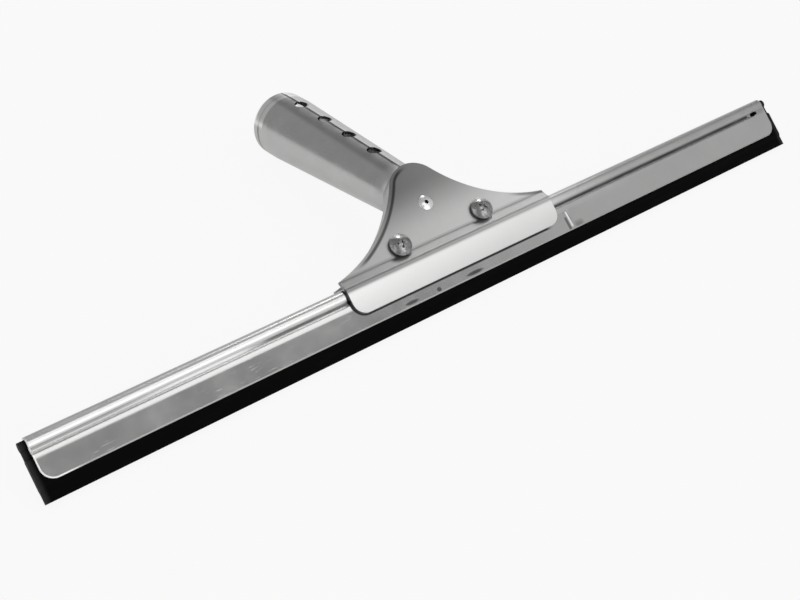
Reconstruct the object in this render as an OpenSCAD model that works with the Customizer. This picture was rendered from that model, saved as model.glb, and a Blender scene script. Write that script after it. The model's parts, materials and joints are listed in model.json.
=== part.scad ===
// Window squeegee in stainless sheet: a two-sheet clamp handle with a rolled tube socket,
// a folded channel held in its jaws, and a rubber blade held in the channel.
// It lies face up on the rubber's lip and the back of the socket's mouth.
// Every piece is drawn in the blade's own frame first: x runs along the blade, y goes to the
// back, z goes up from the top of the channel's bead. set_down() then lays it on the table.

/* [Channel] */
// Length of the channel
channel_len = 350; // [250:5:450]
// Height of the channel, from the top of its bead to its lower edge
channel_h = 16.8; // [15:0.1:22]
// Thickness of the channel's sheet
channel_sheet = 0.8; // [0.6:0.05:0.9]
// Outer radius of the bead along the channel's top
bead_r = 2.7; // [2.5:0.05:3.1]
// Half the channel's thickness at the bottom of its groove
groove_half = 1.7; // [1.6:0.05:1.85]
// Half the channel's thickness over its flat faces
face_half = 2.6; // [2.5:0.05:2.7]
// Radius of the groove and of the shoulder below it
groove_r = 1.2; // [1.1:0.05:1.4]
// Overlap of the bends where one runs into the next
bend_lap = 0.02; // [0.01:0.005:0.05]
// Overlap of the flat faces with the shoulder above them
face_lap = 0.12; // [0.1:0.01:0.2]
// Radius of the channel's lower corners
channel_corner = 5; // [2:0.5:7]
// Distance of the punched slot from the channel's right end, beyond which the groove is filled
slot_inset = 6.5; // [5:0.5:12]
// Length of the punched slot
slot_len = 3.4; // [2.5:0.1:5]
// Width of the punched slot
slot_w = 1.5; // [1.2:0.1:1.8]
// Distance of the crimp from the middle of the channel
crimp_x = 54; // [52:0.5:65]
// Depth of the crimp in the channel's front
crimp_deep = 0.35; // [0.2:0.05:0.5]
// Radius of the crimp's hollow
crimp_r = 2; // [1:0.25:3]
// Lean of the crimp into the metal towards its upper end
crimp_lean = 3; // [0:0.5:3]

/* [Rubber] */
// Length of the rubber
rubber_len = 355; // [351:0.1:451]
// How far the lip stands out below the channel
lip_out = 6.2; // [4:0.1:9]
// How far the rubber's full thickness goes on below the channel
lip_root = 1.2; // [0.6:0.1:1.6]
// Length of the taper from there to the lip
lip_taper = 1.3; // [0.8:0.1:2]
// Width of the lip's working edge
lip_w = 2.2; // [1.6:0.1:2.8]
// Clearance between the rubber and the channel
rubber_clear = 0.1; // [0.05:0.01:0.3]

/* [Jaws] */
// Width of the jaws
jaw_w = 98.8; // [90:0.2:108]
// How far the jaws reach down over the channel from the top of its bead
jaw_drop = 11.7; // [10.5:0.1:14]
// Clearance between each jaw and the channel's bead
jaw_clear = 0.08; // [0.05:0.01:0.2]
// Radius of the jaws' lower corners
jaw_corner = 5; // [2:0.5:6]
// Clearance round the ridges that sit in the channel's grooves
ridge_clear = 0.2; // [0.15:0.01:0.3]
// Radius of the sheet's bends, at the middle of its thickness
bend_r = 1.8; // [1.2:0.1:2.2]

/* [Clamp plate] */
// Thickness of the handle's sheets
sheet = 1.2; // [1:0.05:1.4]
// Lean of the clamp plate away from the blade
plate_tilt = 8; // [5:0.5:14]
// How far the front sheet steps back above its jaw
plate_step = 2.4; // [2:0.05:2.8]
// Height of the plate's foot above the bead
plate_foot = 1.3; // [1.1:0.05:1.8]
// Height above the foot at which the front sheet leaves the plate's plane
step_up = 1.1; // [0.8:0.05:1.4]
// How far below the bead's top the front sheet reaches its jaw's plane
step_down = 0.9; // [0.6:0.05:1.2]
// Height of the clamp plate above its foot
plate_h = 33.8; // [31:0.2:37]
// Radius of the clamp plate's tip
tip_r = 11.3; // [10:0.1:12]
// Radius of the plate's hollow sides
side_r = 62; // [56:1:80]
// Height above the foot at which the hollow sides meet the jaw's ends
ear_up = 1.8; // [1:0.1:2.5]

/* [Handle body] */
// Depth of the tray behind the clamp plate, outside
tray_d = 9.6; // [9:0.1:11]
// How far behind the clamp plate's face the tray's rim starts
rim_back = 2.2; // [1.8:0.1:3]
// How far the tray's sides stand in from the clamp plate's edge
rim_inset = 0.3; // [0.1:0.05:0.8]
// Radius of the tray's back edges
tray_round = 3; // [2:0.25:4]
// How far above the middle of the plate's tip the tray's back edges stay round
round_end = 2; // [0:0.25:3]
// Distance from the middle at which the tray's rims stop
rim_x = 44; // [40:0.5:47]
// Lean of the tube away from the blade
tube_tilt = 49.8; // [46:0.2:54]
// Length of the tube from the plate's tip to its mouth
tube_len = 95.4; // [85:0.2:110]
// Outer radius of the tube at the plate's tip
neck_r = 10.1; // [9.8:0.1:11.6]
// Outer radius of the tube at its mouth
mouth_r = 14.2; // [13:0.1:15]
// Length of the tube's straight stretch at the mouth
mouth_len = 12; // [11:0.5:16]
// How far the tube's front lies behind the plate's tip
neck_back = 3.35; // [2.9:0.05:3.8]
// How far the tray's rim stops behind the tube's front
neck_sunk = 0.8; // [0.5:0.1:1.5]
// How far up the tube the shoulder's centre lies from the plate's tip
shoulder_up = 6; // [5:0.5:7]
// Radius of the mouth's rolled edge
hem_r = 3; // [2:0.25:3.5]
// Radius of the opening inside the rolled edge
socket_r = 11.2; // [10.5:0.1:11.8]
// Length of the rolled edge's inner wall
hem_len = 9; // [6:0.5:10]
// Width of the tube's seam
seam_w = 0.5; // [0.3:0.05:0.8]
// Length of the plain lip between the seam's end and the mouth
lip_len = 4.5; // [4:0.1:8]
// Turn of the seam and its holes round the tube, to the right
seam_turn = 9; // [0:0.5:12]
// Number of holes beside the seam
vent_count = 4; // [1:1:4]
// Radius of the holes beside the seam
vent_r = 3.1; // [2:0.1:3.5]
// Distance of the first hole from the mouth
vent_first = 18.4; // [14:0.2:20]
// Distance from one hole to the next
vent_pitch = 18.1; // [12:0.1:20]
// How far the holes lie to the right of the seam
vent_shift = 0.2; // [0:0.1:2.5]

/* [Fasteners] */
// Distance of each clamp screw from the middle
screw_x = 19.75; // [16:0.25:24]
// Height of the clamp screws above the plate's foot
screw_up = 4.8; // [4.8:0.1:6]
// Radius of a clamp screw's shank
screw_r = 2; // [1.5:0.05:2.2]
// Radius of a clamp screw's head
head_r = 4.5; // [4:0.1:4.5]
// Height of a clamp screw's head
head_h = 2.3; // [1.8:0.1:3]
// Height of the straight edge below the head's dome
head_edge = 0.5; // [0.4:0.05:0.8]
// Reach of the head's cross recess from the screw's axis
recess_r = 2.3; // [1.8:0.1:2.6]
// Reach of the recess at its bottom
recess_tip = 0.6; // [0.5:0.05:0.8]
// Width of the recess's arms
recess_w = 0.9; // [0.7:0.05:1]
// Depth of the recess
recess_deep = 1.6; // [1.2:0.1:1.7]
// Turn of the left screw's recess, a third of the right one's
recess_turn = 15; // [0:5:30]
// How far a clamp screw's end stands out at the back
screw_out = 1; // [0.6:0.1:3]
// Length of the taper at a clamp screw's end
screw_point = 0.5; // [0.3:0.05:0.6]
// Clearance between a screw and its nut's bore
thread_clear = 0.05; // [0.02:0.01:0.09]
// Clearance of the sheets' holes round screws and rivet
hole_clear = 0.3; // [0.2:0.05:0.5]
// Thickness of the spring washers
washer_h = 1.1; // [1.1:0.05:1.3]
// Outer radius of the spring washers
washer_r = 3; // [2.7:0.05:3]
// Width of the slot that splits a spring washer
washer_slot = 0.6; // [0.4:0.05:1]
// Direction of that slot round the screw
washer_turn = 200; // [0:5:355]
// Radius of a clamp nut's flange
nut_r = 3.7; // [3.4:0.05:4]
// Thickness of a clamp nut's flange
nut_h = 2.4; // [2:0.1:3]
// Height of the rivet above the plate's foot
rivet_up = 16.3; // [15:0.1:17]
// Radius of the rivet's body
rivet_r = 1.6; // [1.2:0.1:2]
// Radius of the rivet's flange
rivet_flange = 3.2; // [2.8:0.1:3.6]
// Height of the rivet's domed flange
rivet_dome = 0.8; // [0.6:0.1:1]
// Radius of the rivet's set end
rivet_set_r = 2.4; // [2:0.1:2.6]
// Height of the rivet's set end behind the back sheet
rivet_set = 1; // [0.6:0.1:1.2]
// Radius of the hole down the rivet
rivet_hole = 0.85; // [0.6:0.05:1]
// Radius of the spacer round the rivet
spacer_r = 3.4; // [3:0.1:4]

/* [Hidden] */
$fn = 96;
past = 1;
steel = "#b9bbbd";
bright = "#d8dadc";
black = "#141414";

// Channel section: the bead's circle, the groove's and the shoulder's meet at tangents
groove_y = groove_half + groove_r;
groove_z = -bead_r - sqrt(pow(bead_r + groove_r - bend_lap, 2) - pow(groove_y, 2));
shoulder_y = face_half - groove_r;
shoulder_z = groove_z - sqrt(pow(2 * groove_r - bend_lap, 2) - pow(groove_y - shoulder_y, 2));

// Jaws: the sheet's middle line and outer face
jaw_mid = bead_r + jaw_clear + sheet / 2;
jaw_face = jaw_mid + sheet / 2;

// Clamp plate: its foot, and the directions up it and into it, all as [y, z]
foot = [plate_step - jaw_face, plate_foot];
plate_up = [sin(plate_tilt), cos(plate_tilt)];
plate_in = [cos(plate_tilt), -sin(plate_tilt)];
function on_plate_at(depth, up) = foot + plate_in * depth + plate_up * up;

// Hollow sides: a circle through the jaw's upper corner that meets the tip's circle at a tangent
tip_up = plate_h - tip_r;
side_gap = norm([jaw_w / 2, tip_up - ear_up]);
side_turn = acos((pow(side_r, 2) + pow(side_gap, 2) - pow(side_r + tip_r, 2)) / (2 * side_r * side_gap));
side_aim = atan2(tip_up - ear_up, -jaw_w / 2) - side_turn;
side_centre = [jaw_w / 2 + side_r * cos(side_aim), ear_up + side_r * sin(side_aim)];

// Tube: its directions and the middle of its section at the plate's tip, as [y, z]
tube_up = [sin(tube_tilt), cos(tube_tilt)];
tube_in = [cos(tube_tilt), -sin(tube_tilt)];
neck = on_plate_at(0, plate_h) + tube_in * (neck_r + neck_back);
mouth_start = tube_len - mouth_len;
taper = (mouth_r - neck_r) / mouth_start;
shoulder_r = neck_r + taper * shoulder_up;

// Table: it touches the lip's back corner and the rolled edge at the back of the mouth
lip_bottom = -channel_h - lip_out;
lip_corner = [lip_w / 2, lip_bottom];
hem_middle = neck + tube_up * (tube_len - hem_r) + tube_in * (mouth_r - hem_r);
reach = hem_middle - lip_corner;
lean = atan2(reach[0], reach[1]) + asin(hem_r / norm(reach));
function along(p) = p[0] * sin(lean) + p[1] * cos(lean);
hem_front = neck + tube_up * (tube_len - hem_r) - tube_in * (mouth_r - hem_r);
near_end = along([-lip_w / 2, lip_bottom]);
far_end = along(hem_front) + hem_r;
drop = lip_corner[0] * cos(lean) - lip_corner[1] * sin(lean);

function unit(v) = v / norm(v);
function left_of(v) = [-v[1], v[0]];
function backwards(p) = [for (i = [len(p) - 1:-1:0]) p[i]];

// Facets in one bend of a sheet
bend_steps = 8;

// A bend of radius r that rounds the corner b of the line a, b, c
function bend(a, b, c, r) =
    let (u = unit(a - b), v = unit(c - b), half = acos(u * v) / 2,
         middle = b + unit(u + v) * r / sin(half), from = b + u * r / tan(half) - middle,
         swing = (180 - 2 * half) * (u[0] * v[1] - u[1] * v[0] > 0 ? -1 : 1))
    [for (i = [0:bend_steps]) let (s = swing * i / bend_steps)
        middle + [from[0] * cos(s) - from[1] * sin(s), from[0] * sin(s) + from[1] * cos(s)]];

// A line with its inner corners rounded
function rounded(p, r) = concat([p[0]],
    [for (i = [1:len(p) - 2]) each bend(p[i - 1], p[i], p[i + 1], r)], [p[len(p) - 1]]);

// A line moved sideways by s, to its left
function beside(p, s) = [for (i = [0:len(p) - 1])
    let (a = unit(i > 0 ? p[i] - p[i - 1] : p[1] - p[0]),
         b = unit(i < len(p) - 1 ? p[i + 1] - p[i] : p[i] - p[i - 1]),
         m = unit(left_of(a) + left_of(b)))
    p[i] + m * s / (m * left_of(a))];

// Middle lines of the two sheets, seen from the end of the blade
front_line = rounded([[-jaw_mid, -jaw_drop], [-jaw_mid, -step_down], on_plate_at(sheet / 2, step_up),
    on_plate_at(sheet / 2, plate_h + past)], bend_r);
back_line = rounded([[jaw_mid, -jaw_drop], [jaw_mid, -bead_r], on_plate_at(tray_d - sheet / 2, 0),
    on_plate_at(tray_d - sheet / 2, plate_h + 2 * tip_r)], bend_r);

// Lays the part on the table, with the middle of its footprint at the origin
module set_down() {
    translate([0, -(near_end + far_end) / 2, drop])
        rotate([lean - 90, 0, 0])
            children();
}

// Plate frame: x along the blade, y into the plate, z up it
module on_plate() {
    translate([0, foot[0], foot[1]])
        rotate([-plate_tilt, 0, 0])
            children();
}

// Tube frame: z runs up the tube from the plate's tip, y to its back
module on_tube() {
    translate([0, neck[0], neck[1]])
        rotate([-tube_tilt, 0, 0])
            children();
}

// Turns an outline of [y, z] points into a bar that runs along the blade
module along_blade(len) {
    translate([-len / 2, 0, 0])
        rotate([90, 0, 90])
            linear_extrude(height = len)
                children();
}

// Turns an outline of [x, z] points into a slab from y = from to y = to
module into_depth(from, to) {
    translate([0, to, 0])
        rotate([90, 0, 0])
            linear_extrude(height = to - from)
                children();
}

// Outline of the clamp plate in its own plane, grown on all sides but the jaw's ends
module plate_outline(grow) {
    intersection() {
        union() {
            difference() {
                polygon([[-jaw_w, -4 * jaw_drop], [jaw_w, -4 * jaw_drop], side_centre, [0, tip_up],
                    [-side_centre[0], side_centre[1]]]);
                for (side = [-1, 1])
                    translate([side * side_centre[0], side_centre[1]])
                        circle(r = side_r - grow, $fn = 360);
                for (side = [-1, 1])
                    translate([side * jaw_w, side_centre[1] / 2 + ear_up])
                        square([jaw_w, side_centre[1]], center = true);
            }
            translate([0, tip_up])
                circle(r = tip_r + grow);
        }
        translate([0, plate_h / 2])
            square([jaw_w, 4 * plate_h], center = true);
    }
}

// Keeps the jaws' lower corners round
module jaw_block() {
    into_depth(-4 * tray_d, 8 * tray_d)
        union() {
            translate([-jaw_w / 2, -jaw_drop + jaw_corner])
                square([jaw_w, 4 * plate_h]);
            translate([-jaw_w / 2 + jaw_corner, -jaw_drop])
                square([jaw_w - 2 * jaw_corner, 2 * jaw_corner]);
            for (side = [-1, 1])
                translate([side * (jaw_w / 2 - jaw_corner), -jaw_drop + jaw_corner])
                    circle(r = jaw_corner);
        }
}

// Ridge along a jaw that sits in the channel's groove
module jaw_ridge(side) {
    translate([0, side * groove_y, groove_z])
        rotate([0, 90, 0])
            cylinder(r = groove_r - ridge_clear, h = jaw_w - 2 * jaw_corner, center = true);
}

// Round hole straight through a sheet of the clamp, in the plate frame
module plate_hole(x, up, r, from, to) {
    translate([x, to, up])
        rotate([90, 0, 0])
            cylinder(r = r, h = to - from);
}

// Tube outline on its axis: taper, straight mouth and rolled edge
module tube_outside() {
    rotate_extrude()
        difference() {
            polygon([[0, shoulder_up], [shoulder_r, shoulder_up], [mouth_r, mouth_start],
                [mouth_r, tube_len], [0, tube_len]]);
            difference() {
                translate([mouth_r - hem_r, tube_len - hem_r])
                    square(2 * hem_r);
                translate([mouth_r - hem_r, tube_len - hem_r])
                    circle(r = hem_r);
            }
        }
    translate([0, 0, shoulder_up])
        sphere(r = shoulder_r);
}

// Hollow of the tube, with the mouth's opening
module tube_inside() {
    rotate_extrude()
        polygon([[0, shoulder_up], [shoulder_r - sheet, shoulder_up], [mouth_r - sheet, mouth_start],
            [mouth_r - sheet, tube_len - hem_len - sheet], [socket_r, tube_len - hem_len],
            [socket_r, tube_len + past], [0, tube_len + past]]);
    translate([0, 0, shoulder_up])
        sphere(r = shoulder_r - sheet);
}

// Tool that rounds the tray's back edge along one hollow side, up to where the tube takes over
module side_cutter(side, grow) {
    edge = side_r - grow;
    intersection() {
        translate([side * side_centre[0], 0, side_centre[1]])
            rotate([-90, 0, 0])
                rotate_extrude($fn = 360)
                    difference() {
                        square([edge + tray_round, tray_d + past]);
                        translate([edge, -past])
                            square([tray_round + past, tray_d - tray_round + past]);
                        translate([edge + tray_round, tray_d - tray_round])
                            circle(r = tray_round);
                    }
        translate([0, 0, tip_up + round_end - 2 * plate_h])
            cube([2 * jaw_w, 4 * tray_d, 4 * plate_h], center = true);
    }
}

// Everything in front of the back sheet's face that lies s outside its middle line
module before_back(s) {
    along_blade(jaw_w + 4 * past)
        polygon(concat(beside(back_line, -s), [[-8 * tray_d, 4 * plate_h], [-8 * tray_d, -jaw_drop]]));
}

// Outside of the tray between the tube and the jaws
module tray_outside() {
    difference() {
        intersection() {
            on_plate()
                into_depth(rim_back, 3 * tray_d)
                    plate_outline(-rim_inset);
            before_back(sheet / 2);
        }
        on_plate()
            for (side = [-1, 1])
                side_cutter(side, -rim_inset);
        on_tube()
            translate([0, neck_sunk - neck_r - 2 * tip_r, 2 * tip_r - past])
                cube([4 * tip_r, 4 * tip_r, 4 * tip_r], center = true);
    }
    intersection() {
        along_blade(jaw_w)
            polygon(concat(beside(back_line, -sheet / 2), backwards(beside(back_line, sheet / 2))));
        translate([0, 0, -plate_h])
            cube([jaw_w, 8 * tray_d, 2 * plate_h], center = true);
        jaw_block();
    }
}

// Room inside the tray, open to the front and at the ears
module tray_inside() {
    intersection() {
        on_plate()
            union() {
                into_depth(-8 * tray_d, 3 * tray_d)
                    plate_outline(-rim_inset - sheet);
                for (side = [-1, 1])
                    translate([side * (rim_x + jaw_w / 2), 0, 0])
                        cube([jaw_w, 16 * tray_d, 2 * plate_h], center = true);
            }
        before_back(-sheet / 2);
    }
}

module handle_body() {
    color(steel)
        set_down()
            difference() {
                union() {
                    difference() {
                        union() {
                            intersection() {
                                on_tube()
                                    tube_outside();
                                on_plate()
                                    translate([-2 * mouth_r, 0, -plate_h])
                                        cube([4 * mouth_r, 2 * tube_len, 2 * tube_len + plate_h]);
                            }
                            tray_outside();
                        }
                        tray_inside();
                    }
                    jaw_ridge(1);
                }
                on_tube()
                    tube_inside();
                on_tube()
                    rotate([0, 0, seam_turn]) {
                        translate([-seam_w / 2, -2 * mouth_r, 0])
                            cube([seam_w, 2 * mouth_r, tube_len - lip_len]);
                        for (i = [0:vent_count - 1])
                            translate([vent_shift, 0, tube_len - vent_first - i * vent_pitch])
                                rotate([90, 0, 0])
                                    cylinder(r = vent_r, h = 2 * mouth_r);
                    }
                on_plate()
                    for (side = [-1, 1])
                        plate_hole(side * screw_x, screw_up, screw_r + hole_clear, tray_d / 2, 2 * tray_d);
                on_plate()
                    plate_hole(0, rivet_up, rivet_r + hole_clear, tray_d / 2, 2 * tray_d);
            }
}

module front_plate() {
    color(bright)
        set_down()
            difference() {
                union() {
                    intersection() {
                        along_blade(jaw_w)
                            polygon(concat(beside(front_line, -sheet / 2),
                                backwards(beside(front_line, sheet / 2))));
                        on_plate()
                            into_depth(-2 * tray_d, 2 * tray_d)
                                plate_outline(0);
                        jaw_block();
                    }
                    jaw_ridge(-1);
                }
                on_plate()
                    for (side = [-1, 1])
                        plate_hole(side * screw_x, screw_up, screw_r + hole_clear, -past, sheet + past);
                on_plate()
                    plate_hole(0, rivet_up, rivet_r + hole_clear, -past, sheet + past);
            }
}

// Rivet: a domed flange in front, a hollow body and its end set against the back sheet
module centre_rivet() {
    ball_r = (pow(rivet_flange, 2) + pow(rivet_dome, 2)) / (2 * rivet_dome);
    color(bright)
        set_down()
            on_plate()
                translate([0, 0, rivet_up])
                    rotate([-90, 0, 0])
                        difference() {
                            union() {
                                intersection() {
                                    translate([0, 0, ball_r - rivet_dome])
                                        sphere(r = ball_r);
                                    translate([0, 0, -rivet_dome])
                                        cylinder(r = rivet_flange, h = rivet_dome);
                                }
                                cylinder(r = rivet_r, h = tray_d + rivet_set);
                                translate([0, 0, tray_d])
                                    cylinder(r1 = rivet_set_r, r2 = (rivet_set_r + rivet_r) / 2, h = rivet_set);
                            }
                            translate([0, 0, -rivet_dome - past])
                                cylinder(r = rivet_hole, h = tray_d + rivet_dome);
                        }
}

// Sleeve that keeps the two sheets apart at the rivet
module rivet_spacer() {
    color(steel)
        set_down()
            on_plate()
                difference() {
                    plate_hole(0, rivet_up, spacer_r, sheet, tray_d - sheet);
                    plate_hole(0, rivet_up, rivet_r + hole_clear, 0, tray_d);
                }
}

// Cross recess for a screwdriver, from the top of the head down
module cross_recess() {
    slope = (recess_r - recess_tip) / recess_deep;
    intersection() {
        union() {
            for (turn = [0, 90])
                rotate([0, 0, turn])
                    translate([0, 0, recess_deep / 2])
                        cube([4 * recess_r, recess_w, recess_deep + past], center = true);
        }
        translate([0, 0, -past])
            cylinder(r1 = recess_r + past * slope, r2 = recess_tip, h = recess_deep + past);
    }
}

// Pan-head screw: a dome above a short straight edge, a plain shank and a tapered end
module clamp_screw(side) {
    tip = tray_d + screw_out - screw_point;
    dome_h = head_h - head_edge;
    dome_r = (pow(head_r, 2) + pow(dome_h, 2)) / (2 * dome_h);
    color(bright)
        set_down()
            on_plate()
                translate([side * screw_x, 0, screw_up])
                    rotate([-90, 0, 0])
                        difference() {
                            union() {
                                intersection() {
                                    translate([0, 0, -washer_h - head_h])
                                        cylinder(r = head_r, h = head_h);
                                    translate([0, 0, -washer_h - head_h + dome_r])
                                        sphere(r = dome_r);
                                }
                                translate([0, 0, -washer_h - head_edge])
                                    cylinder(r = screw_r, h = tip + washer_h + head_edge);
                                translate([0, 0, tip])
                                    cylinder(r1 = screw_r, r2 = screw_r - screw_point, h = screw_point);
                            }
                            translate([0, 0, -washer_h - head_h])
                                rotate([0, 0, recess_turn * (2 + side)])
                                    cross_recess();
                        }
}

// Split spring washer under a screw's head
module spring_washer(side) {
    color(steel)
        set_down()
            on_plate()
                translate([side * screw_x, 0, screw_up])
                    rotate([90, 0, 0])
                        difference() {
                            cylinder(r = washer_r, h = washer_h);
                            translate([0, 0, -past])
                                cylinder(r = screw_r + thread_clear, h = washer_h + 2 * past);
                            rotate([0, 0, washer_turn])
                                translate([0, -washer_slot / 2, -past])
                                    cube([head_r, washer_slot, washer_h + 2 * past]);
                        }
}

// Press nut: flange on the back sheet's inner face and a pilot through the sheet
module clamp_nut(side) {
    color(steel)
        set_down()
            on_plate()
                difference() {
                    union() {
                        plate_hole(side * screw_x, screw_up, nut_r, tray_d - sheet - nut_h, tray_d - sheet);
                        plate_hole(side * screw_x, screw_up, screw_r + hole_clear, tray_d - 2 * sheet, tray_d);
                    }
                    plate_hole(side * screw_x, screw_up, screw_r + thread_clear, 0, 2 * tray_d);
                }
}

// Section of the folded channel, drawn in from its outside by the given amount
module channel_section(inset) {
    translate([0, -bead_r])
        circle(r = bead_r - inset);
    difference() {
        polygon([[0, -bead_r], [-groove_y, groove_z], [-shoulder_y, shoulder_z], [shoulder_y, shoulder_z],
            [groove_y, groove_z]]);
        for (side = [-1, 1])
            translate([side * groove_y, groove_z])
                circle(r = groove_r + inset);
    }
    for (side = [-1, 1])
        translate([side * shoulder_y, shoulder_z])
            circle(r = groove_r - inset);
    translate([-face_half + inset, -channel_h - inset])
        square([2 * (face_half - inset), shoulder_z + channel_h + inset + face_lap]);
}

module channel() {
    slot_x = channel_len / 2 - slot_inset;
    color(bright)
        set_down()
            difference() {
                intersection() {
                    difference() {
                        union() {
                            along_blade(channel_len)
                                channel_section(0);
                            translate([slot_x, -face_half, shoulder_z])
                                cube([slot_inset, face_half - groove_half + channel_sheet / 2,
                                    -bead_r - shoulder_z]);
                        }
                        along_blade(channel_len + 2 * past)
                            channel_section(channel_sheet);
                    }
                    into_depth(-2 * bead_r, 2 * bead_r)
                        union() {
                            translate([-channel_len / 2, channel_corner - channel_h])
                                square([channel_len, channel_h]);
                            translate([channel_corner - channel_len / 2, -channel_h])
                                square([channel_len - 2 * channel_corner, channel_h]);
                            for (side = [-1, 1])
                                translate([side * (channel_len / 2 - channel_corner),
                                    channel_corner - channel_h])
                                    circle(r = channel_corner);
                        }
                }
                into_depth(-2 * bead_r, 0)
                    for (side = [-1, 1])
                        translate([slot_x + side * (slot_len - slot_w) / 2, groove_z])
                            circle(r = slot_w / 2);
                into_depth(-2 * bead_r, 0)
                    translate([slot_x, groove_z])
                        square([slot_len - slot_w, slot_w], center = true);
                translate([crimp_x, crimp_deep - face_half - crimp_r, (shoulder_z - channel_h) / 2])
                    rotate([-crimp_lean, 0, 0])
                        cylinder(r = crimp_r, h = channel_h - jaw_drop + crimp_r, center = true);
            }
}

// Section of the rubber: a bulb in the bead, a web through the groove, a thick body and the lip
module rubber_section() {
    body_half = face_half - channel_sheet - rubber_clear;
    web_half = groove_half - channel_sheet - rubber_clear;
    translate([0, -bead_r])
        circle(r = bead_r - channel_sheet - rubber_clear);
    half = [[web_half, -bead_r], [web_half, shoulder_z], [body_half, shoulder_z - body_half + web_half],
        [body_half, -channel_h - lip_root], [lip_w / 2, -channel_h - lip_root - lip_taper],
        [lip_w / 2, lip_bottom]];
    polygon(concat([for (p = half) [-p[0], p[1]]], backwards(half)));
}

module rubber_blade() {
    color(black)
        set_down()
            along_blade(rubber_len)
                rubber_section();
}

handle_body();
front_plate();
centre_rivet();
rivet_spacer();
clamp_screw(-1);  // clamp_screw_left
clamp_screw(1);  // clamp_screw_right
spring_washer(-1);  // spring_washer_left
spring_washer(1);  // spring_washer_right
clamp_nut(-1);  // clamp_nut_left
clamp_nut(1);  // clamp_nut_right
channel();
rubber_blade();
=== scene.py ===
# %% [markdown]
# # A window squeegee
# The real tool is folded from stainless sheet. Two sheets grip a bright channel, the channel
# grips a strip of black rubber, and a rolled tube at the back takes a pole. The CAD model
# already has every shape at its real size, so it is loaded first and stays as it is. What this
# lesson adds is the camera, the finishes, the table and the light.

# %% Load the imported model
import json
import math

import bpy
from mathutils import Matrix, Vector


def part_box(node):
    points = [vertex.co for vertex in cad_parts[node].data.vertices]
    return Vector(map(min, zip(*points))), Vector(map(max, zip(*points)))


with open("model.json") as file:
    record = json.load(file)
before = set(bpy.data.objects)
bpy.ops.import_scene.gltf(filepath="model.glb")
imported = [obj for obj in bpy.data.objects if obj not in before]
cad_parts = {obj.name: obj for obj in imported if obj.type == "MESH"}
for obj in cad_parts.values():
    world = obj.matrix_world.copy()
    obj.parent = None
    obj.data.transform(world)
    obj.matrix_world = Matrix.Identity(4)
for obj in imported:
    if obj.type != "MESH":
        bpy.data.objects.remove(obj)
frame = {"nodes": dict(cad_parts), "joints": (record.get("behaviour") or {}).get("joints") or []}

scene = bpy.context.scene
nodes = frame["nodes"]
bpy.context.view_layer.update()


# %% [markdown]
# The importer leaves its pieces selected, and an operator acts on all that is selected. So
# everything is deselected before anything new is made. The Standard view shows a colour as it
# is written, while a film-like view would turn the white table grey.

# %% Start with nothing selected
bpy.ops.object.select_all(action="DESELECT")
scene.view_settings.view_transform = "Standard"
print("selected", len(bpy.context.selected_objects))

# %% [markdown]
# The camera stands in front of the blade, to its left and above it, as a hand would hold the
# tool out to be looked at. Its three directions and its place come from the edges of the
# channel, the screws and the tube's mouth. A matrix says all four at once, which is plainer
# than three angles.

# %% Camera
camera_data = bpy.data.cameras.new("camera")
camera_data.sensor_width = 36.0
camera_data.lens = 58.53
camera = bpy.data.objects.new("camera", camera_data)
scene.collection.objects.link(camera)
camera_right = Vector((0.80254, -0.59635, -0.01736))
camera_up = Vector((0.38215, 0.4915, 0.78255))
camera_back = Vector((-0.45814, -0.63466, 0.62234))
stand = Matrix((camera_right, camera_up, camera_back)).transposed().to_4x4()
stand.translation = Vector((-0.25262, -0.37052, 0.31136))
camera.matrix_world = stand
scene.camera = camera
print("camera looks down by", round(math.degrees(math.asin(camera_back.z)), 1), "degrees")

# %% [markdown]
# A shader graph is easier to read as a formula. This small class wraps a socket, so that
# adding or multiplying two of them adds the Math node that does it. The reflected forms are
# there so that a plain number may come first, as in 1 - mask.

# %% Values that add their own Math nodes
class Value:
    """A socket that is used in a formula like a number."""

    def __init__(self, bench, socket):
        self.bench = bench
        self.socket = socket

    def __add__(self, other):
        return self.bench.math("ADD", self, other)

    def __sub__(self, other):
        return self.bench.math("SUBTRACT", self, other)

    def __rsub__(self, other):
        return self.bench.math("SUBTRACT", other, self)

    def __mul__(self, other):
        return self.bench.math("MULTIPLY", self, other)

    def __truediv__(self, other):
        return self.bench.math("DIVIDE", self, other)

    def __abs__(self):
        return self.bench.math("ABSOLUTE", self)

    __radd__ = __add__
    __rmul__ = __mul__


print("a Value can be added, subtracted, multiplied, divided and made positive")

# %% [markdown]
# Every other node comes from one method. Its settings are set first, because some of them
# change which sockets the node has. Then each socket gets a number, or a link from a Value.

# %% The bench that a material is built on
class Bench:
    """The node tree of one material, or of the world, while it is put together."""

    def __init__(self, tree):
        self.tree = tree
        tree.nodes.clear()

    def node(self, kind, settings=None, inputs=None, output=0):
        made = self.tree.nodes.new(kind)
        for key, value in (settings or {}).items():
            setattr(made, key, value)
        for key, value in (inputs or {}).items():
            if isinstance(value, Value):
                self.tree.links.new(value.socket, made.inputs[key])
            else:
                made.inputs[key].default_value = value
        if made.outputs:
            return Value(self, made.outputs[output])

    def math(self, operation, *values, clamp=False):
        return self.node("ShaderNodeMath", {"operation": operation, "use_clamp": clamp},
                         dict(enumerate(values)))


def new_material(name):
    material = bpy.data.materials.new(name)
    material.use_nodes = True
    return material, Bench(material.node_tree)


def close(bench, shader):
    """Send the finished shader to the material's output."""
    bench.node("ShaderNodeOutputMaterial", None, {"Surface": shader})


print("a Bench adds nodes, and new_material and close begin and end a material")

# %% [markdown]
# A finish is mostly masks: numbers between 0 and 1 that say where a mark is. A smooth step
# gives one soft edge, and a band has two of them. Hard edges would look cut out and would
# flicker, so every mask here has a soft one.

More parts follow.
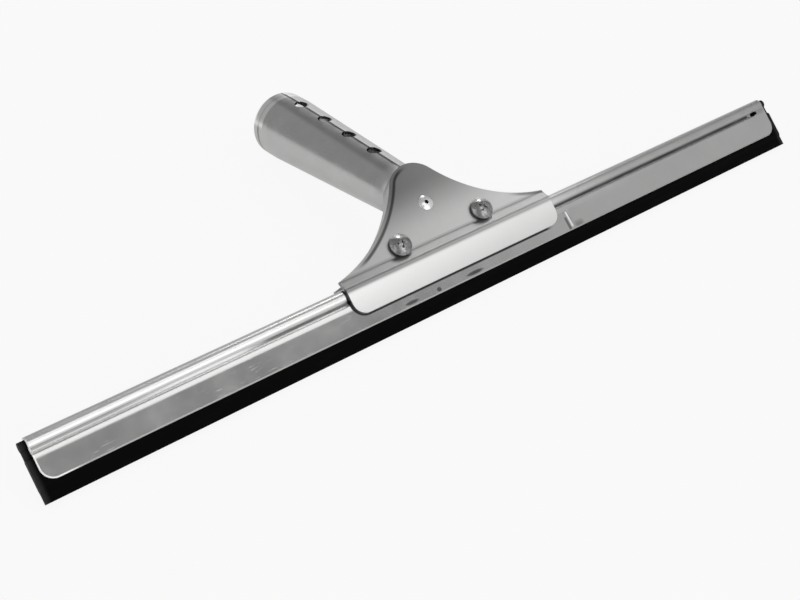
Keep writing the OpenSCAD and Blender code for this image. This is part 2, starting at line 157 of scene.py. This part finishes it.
# %% Masks
def step(value, start, end, low=0.0, high=1.0):
    """low before start, high after end, and a smooth rise between them."""
    return value.bench.node("ShaderNodeMapRange", {"interpolation_type": "SMOOTHSTEP"},
                            {"Value": value, "From Min": start, "From Max": end,
                             "To Min": low, "To Max": high})


def fall(value, start, end):
    """1 before start, 0 after end, and a smooth fall between them."""
    return 1 - step(value, start, end)


def band(value, start, end, soft):
    """1 between start and end, 0 outside, with soft edges."""
    return step(value, start - soft, start + soft) * fall(value, end - soft, end + soft)


def limited(value):
    """The value, kept between 0 and 1."""
    return value.bench.math("MULTIPLY", value, 1.0, clamp=True)


def above_zero(value):
    return value.bench.math("MAXIMUM", value, 0.0)


def length(across, up):
    """The length of a line that goes so far across and so far up."""
    return across.bench.math("SQRT", across * across + up * up)


print("masks: step, fall, band")

# %% [markdown]
# Noise stands for all that chance has done to a surface. Colours go through a Mix node,
# because a Math node would turn them grey.

# %% Noise and colour
def noise(vector, scale, detail=2.0, roughness=0.5):
    return vector.bench.node("ShaderNodeTexNoise", None,
                             {"Vector": vector, "Scale": scale, "Detail": detail,
                              "Roughness": roughness})


COLOUR_A, COLOUR_B, COLOUR_OUT = 6, 7, 2    # a Mix node's sockets when it mixes colours


def mix(factor, first, second):
    return factor.bench.node("ShaderNodeMix", {"data_type": "RGBA"},
                             {"Factor": factor, COLOUR_A: first, COLOUR_B: second},
                             output=COLOUR_OUT)


def grey(level):
    return (level, level, level, 1.0)


def product(first, second):
    """The dot product of two directions, 1 where they agree."""
    return first.bench.node("ShaderNodeVectorMath", {"operation": "DOT_PRODUCT"},
                            {0: first, 1: second}, output="Value")


print("a middle grey is", grey(0.18))

# %% [markdown]
# Every pattern is placed in millimetres on the piece that carries it. The blade, the clamp
# plate and the tube each lie at their own slant, so a Mapping node turns the object's
# coordinates into theirs: x along the blade, y into the metal and z up it. The patterns then
# stay on the metal from every side.

# %% Frames of the blade, the plate and the tube
MM = 0.001
PLACES = {                                  # the middle in metres, the slant in degrees
    "blade": ((0.0, -0.052248, 0.016551), -46.785),
    "plate": ((0.0, -0.052383, 0.018592), -54.785),
    "tube": ((0.0, -0.026311, 0.024722), -96.585),
}


def coordinates(bench, place, stretch=(1.0, 1.0, 1.0)):
    """Millimetres in one of the three frames, divided by stretch."""
    here = bench.node("ShaderNodeTexCoord", None, None, "Object")
    middle, slant = PLACES[place]
    return bench.node("ShaderNodeMapping", {"vector_type": "TEXTURE"},
                      {"Vector": here, "Location": middle,
                       "Rotation": (math.radians(slant), 0.0, 0.0),
                       "Scale": tuple(MM * s for s in stretch)})


def split(vector):
    return [vector.bench.node("ShaderNodeSeparateXYZ", None, {"Vector": vector}, output=i)
            for i in range(3)]


print("frames", sorted(PLACES))

# %% [markdown]
# Where a mark follows an edge or a screw, its place is measured on the CAD model rather than
# typed in again. A Mapping node can only turn what a shader sees, so a matrix does the same
# turn for a point in Python.

# %% Measures from the CAD model
def in_place(place, point):
    """A point that is given in metres, in millimetres in one of the three frames."""
    middle, slant = PLACES[place]
    turn = Matrix.Rotation(math.radians(-slant), 3, "X")
    return turn @ (Vector(point) - Vector(middle)) / MM


def right_end(node):
    """How far a piece reaches to the right, in millimetres."""
    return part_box(node)[1][0] / MM


def lower_edge(node):
    """How far down the blade a piece reaches, in millimetres in the blade's frame."""
    return min(in_place("blade", vertex.co).z for vertex in nodes[node].data.vertices)


print("the plate reaches down the blade to", round(lower_edge("front_plate"), 2), "mm")

# %% [markdown]
# Sheet metal is never even. Hairlines are single scratches from cloths and grit, and they come
# in patches. They could be drawn one by one, but the highest crests of a noise that is drawn
# out in one direction give hundreds of them. Edges wear first, and a Bevel node finds them: it
# rounds the normal near an edge, and where the rounded normal differs from the plain one, the
# metal is worn.

# %% Scratches and worn edges
def scratches(bench, place, hairline):
    """Hairlines, drawn out in the direction in which hairline is largest."""
    drawn = coordinates(bench, place, hairline)
    crests = step(noise(drawn, 1.0, 1.0), 0.70, 0.74)
    patches = step(noise(coordinates(bench, place), 0.05), 0.45, 0.6)
    return crests * patches


def rounded_normal(bench, radius):
    """The normal as it would be if every edge had this radius, in millimetres."""
    return bench.node("ShaderNodeBevel", {"samples": 4}, {"Radius": radius * MM})


def edge_wear(bench, radius):
    """1 where the surface turns over an edge."""
    plain = bench.node("ShaderNodeNewGeometry", None, None, "Normal")
    return step(product(rounded_normal(bench, radius), plain), 0.995, 0.93)


print("scratches and edge_wear are ready")

# %% [markdown]
# Metal without a finish looks like chrome. Real sheet has three layers of detail: broad dull
# clouds from handling, a fine grain from the rolls, and the hairlines. Clouds go to the colour
# and the roughness, grain goes to the bump, and hairlines go to the roughness and the bump.
# One function makes all the steels, and each gets its own numbers and its own marks.

# %% The recipe for a steel
WORN_EDGE, SOFT_EDGE = 0.3, 0.15            # radii in millimetres
GRAIN_DEPTH = 0.02                          # in millimetres
STEEL_WHITE = (1.0, 0.997, 0.99, 1.0)


def steel(name, place, marks, colour, rough, cloud_size, cloudy, grain, grain_scale,
          grain_strength, hairline):
    """A stainless finish. marks is a function that adds its bends and creases, its stains, and
    its painted light and shade.
    """
    material, bench = new_material(name)
    clouds = noise(coordinates(bench, place), 1.0 / cloud_size, 4.0, 0.6) - 0.5
    fibres = noise(coordinates(bench, place, grain), grain_scale, 3.0, 0.7)
    lines = scratches(bench, place, hairline)
    worn = edge_wear(bench, WORN_EDGE)
    level = colour + clouds * cloudy + worn * 0.12
    roughness = rough + clouds * 0.16 + lines * 0.12 - worn * 0.05
    level, roughness, swell = marks(bench, level, roughness)
    bent = bench.node("ShaderNodeBump", None,
                      {"Strength": 1.0, "Distance": MM, "Height": swell,
                       "Normal": rounded_normal(bench, SOFT_EDGE)})
    bump = bench.node("ShaderNodeBump", None,
                      {"Strength": grain_strength, "Distance": GRAIN_DEPTH * MM,
                       "Height": fibres - lines * 0.4, "Normal": bent})
    close(bench, bench.node("ShaderNodeBsdfPrincipled", None,
                            {"Base Color": mix(limited(level), grey(0.0), STEEL_WHITE),
                             "Metallic": 1.0, "Roughness": roughness, "Normal": bump}))
    print("steel", name, "has", len(bench.tree.nodes), "nodes")
    return material


# %% [markdown]
# The channel and the jaw that grips it are both sheets with rounded lower corners. Marks run
# along their edges, so one function measures how far a point lies past such an edge. It could
# test the straight edges and the corners apart, but the length of what reaches past the
# corner's centre covers them all at once.

# %% The edges of the channel and the jaw
CORNER = 5.0                                # the radius of all four lower corners
CHANNEL_HALF, CHANNEL_EDGE = right_end("channel"), lower_edge("channel")
JAW_HALF, JAW_EDGE = right_end("front_plate"), lower_edge("front_plate")


def past_edge(along, up, half, edge):
    """Millimetres past a sheet's edge, and less than nothing inside it."""
    aside = above_zero(abs(along) - (half - CORNER))
    below = above_zero((edge + CORNER) - up)
    return length(aside, below) - CORNER


print("channel", round(2 * CHANNEL_HALF, 1), "mm long, jaw", round(2 * JAW_HALF, 1), "mm wide")

# %% [markdown]
# The channel is drawn bright, and it still looks like a mirror. Its round bead at the top has a
# painted highlight in its left part and painted shade towards the right. The groove under it has
# painted shade all along and a broken dark line of painted shade and dried water scale, and near
# the left end it is darker and rougher. In its left half the groove's lower wall has a painted
# highlight.

# %% The bead and the groove
SLOT = 165.0                                # the punched slot, where the scale ends


def groove_marks(bench, along, up, front, level, roughness):
    # painted light on the bead: a highlight in its left part, shade towards the right
    bead_painted_light = step(up, -7.4, -4.6) * (0.24 - step(along, 20.0, 90.0) * 0.34)
    bead_top = step(up, -4.6, -4.2)
    hollow = band(up, -6.5, -4.3, 0.3) * front
    groove_left_end = hollow * fall(along, -150.0, -115.0)
    # painted highlight on the groove's lower wall, in its left half
    lower_wall_highlight = band(up, -6.5, -5.3, 0.2) * front * fall(along, -60.0, 20.0)
    broken = noise(coordinates(bench, "blade", (9.0, 1.0, 1.0)), 0.8, 3.0, 0.6)
    # where the broken dark line runs, painted shade and dried scale together
    scale = step(along, -100.0, -78.0) * fall(along, SLOT - 0.8, SLOT + 0.8)
    line = limited(band(up, -5.8, -4.7, 0.35) * front * scale * (0.55 + broken * 0.9))
    # the groove gets painted shade, darker still near its left end, and its lower wall the
    # painted highlight
    level = level + bead_painted_light - (groove_left_end * 0.3 + hollow * 0.1) * (1 - lower_wall_highlight) + lower_wall_highlight * 0.26
    return (level * (1 - line * 0.84),
            roughness + hollow * 0.2 + groove_left_end * 0.14 + bead_top * 0.17)


print("the scale ends at", SLOT, "mm")

# %% [markdown]
# A thin line of painted shadow runs round the jaw's edge, and below it are three dark spots.
# The small crimp right of the jaw is a real hollow in the CAD model, so it gets only painted
# shade on its left side and a painted shadow at its foot. All these are flat marks, so they
# change the colour and not the shape.

# %% Painted shade and dark spots on the channel
# three dark spots below the jaw
DARK_SPOTS = ((-26.5, 3.6, 0.8), (-13.7, 1.2, 1.0), (3.7, 4.6, 0.8))   # middle, half, height
DARK_SPOT_UP = -15.2
CRIMP = 54.0


def shade_and_spots(along, up, front, level, roughness):
    off_jaw = past_edge(along, up, JAW_HALF, JAW_EDGE)
    # a thin line of painted shadow round the jaw's edge
    jaw_shadow = band(off_jaw, 0.0, 0.9, 0.2) * front * fall(along, 42.0, 46.0)
    # three dark spots below the jaw
    dark_spot = 0.0
    for middle, half, high in DARK_SPOTS:
        spread = (along - middle) / half
        rise = (up - DARK_SPOT_UP) / high
        dark_spot = dark_spot + fall(spread * spread + rise * rise, 0.3, 1.2)
    leaning = along + up * 0.02
    # painted shade on the crimp's left side, and a painted shadow at its foot
    crimp_shade = band(leaning, CRIMP - 2.1, CRIMP - 0.8, 0.3) * band(up, -17.0, -11.0, 0.6) * front
    painted_shade = band(leaning, CRIMP + 1.4, CRIMP + 5.5, 1.2) * fall(up, -15.6, -13.2) * front
    level = level * (1 - jaw_shadow * 0.93) * (1 - dark_spot * 0.8) * (1 - crimp_shade * 0.6) * (1 - painted_shade * 0.4)
    return level, roughness + jaw_shadow * 0.25 + dark_spot * 0.1


print("dark_spots at", [middle for middle, half, high in DARK_SPOTS])

# %% [markdown]
# The channel's cut edge has a painted highlight, strongest round its left end. The long bend
# below the groove isn't quite finished, so the face turns softly there. That bend is a swelling
# of a third of a millimetre, too little for the outline, so it is a bump.

# %% The channel's bright steel
def channel_marks(bench, level, roughness):
    along, deep, up = split(coordinates(bench, "blade"))
    front = fall(deep, -1.2, -0.9)
    level, roughness = groove_marks(bench, along, up, front, level, roughness)
    level, roughness = shade_and_spots(along, up, front, level, roughness)
    # painted highlight on the channel's cut edge, strongest round its left end
    edge_highlight = step(past_edge(along, up, CHANNEL_HALF, CHANNEL_EDGE), -0.62, -0.42) * front
    edge_highlight_level = 0.94 - step(along, -168.0, -160.0) * 0.48
    turn = limited((up + 9.1) / 2.8)
    return (level * (1 - edge_highlight) + edge_highlight * edge_highlight_level, roughness + edge_highlight * 0.28,
            turn * turn * (0.286 + along * 0.0006))


polished_steel = steel("polished_steel", "blade", channel_marks,
                       colour=0.60, rough=0.12, cloud_size=14.0, cloudy=0.06,
                       grain=(40.0, 1.0, 1.0), grain_scale=1.6, grain_strength=0.2,
                       hairline=(7.0, 0.22, 0.22))

# %% [markdown]
# The front plate has hollow sides and a round tip, and its marks follow that outline: a line of
# painted shadow lies in the fold of its left rim, and its right ear has painted shade. The
# outline is two circles beside the plate and one in its tip, so three lengths measure how far a
# point lies inside it.

# %% The plate's outline
SIDE_ACROSS, SIDE_UP, SIDE_RADIUS = 61.33, 62.64, 62.0   # the circles of the hollow sides
TIP_UP, TIP_RADIUS = 22.5, 11.3                          # the circle of the tip
TIP_START = 28.7                                         # where a side runs into the tip


def inside_left(along, up):
    """Millimetres inside the plate's left side and its tip."""
    from_side = length(along + SIDE_ACROSS, up - SIDE_UP) - SIDE_RADIUS
    from_tip = TIP_RADIUS - length(along, up - TIP_UP)
    at_tip = step(up, TIP_START - 1.0, TIP_START + 1.0)
    return from_side * (1 - at_tip) + from_tip * at_tip


def inside_right(along, up):
    return length(along - SIDE_ACROSS, up - SIDE_UP) - SIDE_RADIUS


print("the tip's radius is", TIP_RADIUS, "mm")

# %% [markdown]
# The plate is cut from satin sheet. The jaw is drawn brighter and a little smoother, with a
# painted highlight towards its top. The sheet above it has painted shade that grows towards its
# tip, and painted light that grows towards the right. Its cut edges have painted shade. The two
# bends between plate and jaw show as soft lines of painted shade, and the short ramp between
# them has painted shade that makes it a little darker than the plate.

# %% The front plate's satin steel
def plate_marks(bench, level, roughness):
    along, deep, up = split(coordinates(bench, "plate"))
    blade_up = split(coordinates(bench, "blade"))[2]
    # painted shade that grows towards the plate's tip
    painted_shade = step(up, 5.0, 27.0)
    jaw = fall(blade_up, -3.4, -1.4)
    # painted shade on the ramp between plate and jaw
    ramp = step(blade_up, -1.6, -0.6) * fall(up, 0.9, 1.7)
    # soft lines of painted shade at the two bends
    upper_bend_shade = band(up, 0.9, 2.2, 0.8)
    lower_bend_shade = band(blade_up, -2.4, -1.3, 0.5)
    # painted shade on the cut edges
    cut_edge_shade = band(deep, 0.3, 0.7, 0.15) * step(up, 1.5, 3.0)
    inward = inside_left(along, up)
    left = fall(along, -5.0, 1.0) * step(up, 2.5, 5.5)
    # a line of painted shadow in the fold of the left rim, and painted shade along that edge
    crease_shade = band(inward, 0.9, 2.1, 0.35) * left
    rim_edge_shade = fall(inward, 0.6, 1.1) * left
    # painted shade on the right ear
    ear_shade = step(along, 33.0, 41.0) * fall(inside_right(along, up), 0.7, 1.7)
    # painted light that grows towards the right
    level = level * (1 - painted_shade * 0.62) + along * 0.0035 * (1 - jaw)
    level = level * (1 - upper_bend_shade * 0.32) * (1 - lower_bend_shade * 0.42) * (1 - ramp * 0.3)
    level = level * (1 - cut_edge_shade * 0.75) * (1 - crease_shade * 0.75) * (1 - rim_edge_shade * 0.15)
    level = level * (1 - ear_shade * 0.55)
    # the jaw drawn brighter, with a painted highlight towards its top
    level = level * (1 - jaw) + jaw * (1.06 + blade_up * 0.02)
    return level, roughness - jaw * 0.04, 0.0


satin_steel = steel("satin_steel", "plate", plate_marks,
                    colour=0.64, rough=0.36, cloud_size=9.0, cloudy=0.10,
                    grain=(1.0, 1.0, 1.0), grain_scale=2.2, grain_strength=0.5,
                    hairline=(7.0, 0.22, 0.22))

# %% [markdown]
# The tube is the same sheet, rolled. Rolling and the grip of a hand leave it smoother than the
# plate, so it shows a line where the room meets the table. Its open seam has a dark line of
# painted shade, and the metal left of the seam has painted shade. Its last few millimetres,
# round the mouth, have a painted highlight, with a thin line of painted shade at a crease near
# the end.

# %% The body's rolled steel
SEAM_TURN = math.radians(9.0)               # how far the seam lies right of the tube's front


def tube_marks(bench, level, roughness):
    across, deep, up = split(coordinates(bench, "tube"))
    rolled = step(up, 3.0, 10.0)
    front = fall(deep, -4.0, 0.0)
    under = step(deep, -5.5, -3.5) * fall(across, 0.0, 1.0)
    # painted highlight round the mouth
    lip_highlight = step(up, 86.4, 87.4) * (1 - under)
    # a thin line of painted shade at the crease near the mouth
    crease_shade = band(up, 89.4, 90.4, 0.3) * (0.3 + under * 0.7)
    # painted shade on the metal left of the seam
    seam_side_shade = band(across, -4.5, 1.2, 1.2) * front * rolled
    off_seam = across * math.cos(SEAM_TURN) + deep * math.sin(SEAM_TURN)
    # a dark line of painted shade in the open seam
    seam = band(off_seam, -0.95, 0.1, 0.2) * front * rolled
    level = (level + lip_highlight * 0.36) * (1 - crease_shade * 0.6)
    level = level * (1 - seam_side_shade * 0.32) * (1 - seam * 0.7)
    return level, roughness - rolled * 0.12, 0.0


rolled_steel = steel("rolled_steel", "tube", tube_marks,
                     colour=0.60, rough=0.36, cloud_size=8.0, cloudy=0.14,
                     grain=(1.0, 1.0, 6.0), grain_scale=1.8, grain_strength=0.4,
                     hairline=(0.22, 0.22, 7.0))

# %% [markdown]
# Screws, washers, nuts and the rivet are turned and plated. Tools and water have marked them, so
# their clouds are small and strong, and they have pits. Each screw's head has a painted
# highlight:
# a crescent on its upper rim and a dot in its recess. The rivet is bright all over.
# Left and right screw are alike, so the sign of x folds both on one pattern.

# %% The fasteners' steel
right_screw = next(joint for joint in frame["joints"] if joint["name"] == "screw_right_turn")
SCREW_ACROSS, _, SCREW_UP = in_place("plate", right_screw["pos_m"])
RIVET_UP = 16.3


def fastener_marks(bench, level, roughness):
    spot = coordinates(bench, "plate")
    along, _, up = split(spot)
    pits = step(noise(spot, 1.1, 3.0, 0.6), 0.42, 0.62)
    rivet = fall(length(along, up - RIVET_UP), 3.6, 4.2)
    aside = along - bench.math("SIGN", along) * SCREW_ACROSS
    above = up - SCREW_UP
    # painted highlight as a dot in each screw's recess
    centre_highlight = fall(length(aside, above), 0.4, 0.8)
    # painted highlight as a crescent on each screw head's upper rim
    crescent_highlight = step(aside * 0.34 + above * 0.94, 2.0, 2.8)
    level = level * (1 - pits * 0.4 * (1 - crescent_highlight)) + crescent_highlight * 0.5 + centre_highlight * 0.5
    return level * (1 - rivet) + rivet * 0.95, roughness + pits * 0.12, 0.0


fastener_steel = steel("fastener_steel", "plate", fastener_marks,
                       colour=0.42, rough=0.22, cloud_size=2.5, cloudy=0.3,
                       grain=(1.0, 1.0, 1.0), grain_scale=3.0, grain_strength=0.3,
                       hairline=(1.0, 0.2, 0.2))

# %% [markdown]
# The rubber is nearly black and dull. Two things keep it from being a black hole in the
# picture: fine dust that clings to it unevenly, and the mottled faces where it was cut to
# length, which are painted paler as painted light.

# %% The rubber
RUBBER_HALF = right_end("rubber_blade")
black_rubber, bench = new_material("black_rubber")
rubber_spot = coordinates(bench, "blade")
dust_clouds = noise(coordinates(bench, "blade", (6.0, 1.0, 1.0)), 0.35, 4.0, 0.6)
dust = step(dust_clouds, 0.5, 0.8)
fine = noise(rubber_spot, 4.0, 3.0, 0.6)
from_middle = abs(split(rubber_spot)[0])
# the mottled cut faces at both ends, painted paler as painted light
cut_face_and_light = limited(step(from_middle, CHANNEL_HALF, RUBBER_HALF - 0.1) * (0.4 + fine * 1.2))
rubber_colour = mix(cut_face_and_light, mix(dust, grey(0.0018), grey(0.006)), grey(0.035))
rubber_bump = bench.node("ShaderNodeBump", None,
                         {"Strength": 0.35, "Distance": 0.03 * MM, "Height": fine})
close(bench, bench.node("ShaderNodeBsdfPrincipled", None,
                        {"Base Color": rubber_colour, "Roughness": 0.5 + dust * 0.2,
                         "Specular IOR Level": 0.035, "Normal": rubber_bump}))
print("rubber", black_rubber.name, "has", len(bench.tree.nodes), "nodes")

# %% [markdown]
# The CAD pieces keep their meshes and only change their material. The handle's body and the
# front plate are one kind of sheet, but the body gets the rolled finish, because most of what
# is seen of it is the tube.

# %% Give each piece its finish
FINISHES = {
    "handle_body": rolled_steel,
    "front_plate": satin_steel,
    "rivet_spacer": satin_steel,
    "centre_rivet": fastener_steel,
    "clamp_screw_left": fastener_steel,
    "clamp_screw_right": fastener_steel,
    "spring_washer_left": fastener_steel,
    "spring_washer_right": fastener_steel,
    "clamp_nut_left": fastener_steel,
    "clamp_nut_right": fastener_steel,
    "channel": polished_steel,
    "rubber_blade": black_rubber,
}
for name, finish in FINISHES.items():
    nodes[name].data.materials.clear()
    nodes[name].data.materials.append(finish)
print("finished", len(FINISHES), "pieces")

# %% [markdown]
# The table is plain and pale. More light would make it white, but would wash out the metal too.
# So the white is only what a ray sees: for the camera nine tenths of the table is its own glow,
# for the metal it glows less, and for all other light it is matt paper. The tenth that stays
# matt for the camera keeps the tool's soft shadow.

# %% Table
JUST_BELOW = -0.0002                        # so that it doesn't touch the tool
bpy.ops.mesh.primitive_circle_add(vertices=96, radius=6.0, fill_type="NGON",
                                  location=(0.0, 0.0, JUST_BELOW))
table = bpy.context.object
table.name = "table"
paper, bench = new_material("paper")
direct = bench.node("ShaderNodeLightPath", None, None, "Is Camera Ray")
mirrored = bench.node("ShaderNodeLightPath", None, None, "Is Glossy Ray")
seen = bench.math("MAXIMUM", direct * 0.9, mirrored * 0.42)
matt = bench.node("ShaderNodeBsdfDiffuse", None, {"Color": grey(0.82)})
white = bench.node("ShaderNodeEmission", None, {"Color": grey(1.0), "Strength": 1.0})
close(bench, bench.node("ShaderNodeMixShader", None, {0: seen, 1: matt, 2: white}))
table.data.materials.append(paper)
print("table", tuple(round(v, 2) for v in table.dimensions))

# %% [markdown]
# Polished metal shows the room, so the room is part of its finish. Area lamps would do, but a
# sky that is drawn by direction is easier to place. All that runs along the blade mirrors one
# strip of the room, and the height in that strip decides how bright each bend is. Two long
# softboxes hang there, one low in front and one higher up. The dark gap between them is what
# the flat face shows, and the bead and the bends show the boxes as bright lines.

# %% The room and its two long softboxes
world = bpy.data.worlds.new("studio")
world.use_nodes = True
scene.world = world
bench = Bench(world.node_tree)
aim = bench.node("ShaderNodeTexCoord", None, None, "Generated")
to_right, to_back, to_top = split(aim)
height = bench.math("ARCTAN2", to_top, 0 - to_back) * math.degrees(1.0)

ROOM = 0.34
GAP_START, GAP_END, FADE = 46.5, 52.0, 3.0  # degrees up from the horizon in front
low_box = step(height, 0.0, 6.0) * fall(height, GAP_START - FADE, GAP_START) * 1.1
high_box = step(height, GAP_END, GAP_END + FADE) * fall(height, 63.0, 74.0) * 1.3
box_ends = step(to_right, -0.2, 0.05) * fall(to_right, 0.44, 0.60)
right_wall = step(to_right, 0.44, 0.60) * fall(height, 80.0, 110.0) * 0.22
light = ROOM + right_wall + (low_box + high_box) * box_ends
print("the dark gap goes from", GAP_START, "to", GAP_END, "degrees up")

# %% [markdown]
# Four small round softboxes do the rest. Each is named for the metal that mirrors it, and has a
# direction, the angles in degrees where it begins and ends to fade, and a strength.

# %% Small softboxes
SMALL_BOXES = {
    "tube beside its seam": ((0.64, 0.76, 0.08), 8.0, 18.0, 0.5),
    "ramp between plate and jaw": ((0.50, 0.78, 0.38), 6.0, 17.0, 0.2),
    "upper rims of the screws": ((0.47, 0.44, 0.765), 5.0, 9.0, 3.2),
    "left side of the tube": ((-0.85, -0.25, 0.45), 18.0, 42.0, 0.55),
}
for direction, inner, outer, strength in SMALL_BOXES.values():
    nearness = product(aim, tuple(Vector(direction).normalized()))
    light = light + step(nearness, math.cos(math.radians(outer)),
                         math.cos(math.radians(inner)), 0.0, strength)
print("small softboxes", len(SMALL_BOXES))

# %% [markdown]
# Behind the tool the camera sees the same white as the table, while the metal still sees the
# softboxes. The Light Path node tells the two apart.

# %% The white behind the tool
BACKDROP = 0.96
to_camera = bench.node("ShaderNodeLightPath", None, None, "Is Camera Ray")
light = light * (1 - to_camera) + to_camera * BACKDROP
sky = bench.node("ShaderNodeBackground", None, {"Color": grey(1.0), "Strength": light})
bench.node("ShaderNodeOutputWorld", None, {"Surface": sky})
print("studio has", len(world.node_tree.nodes), "nodes")
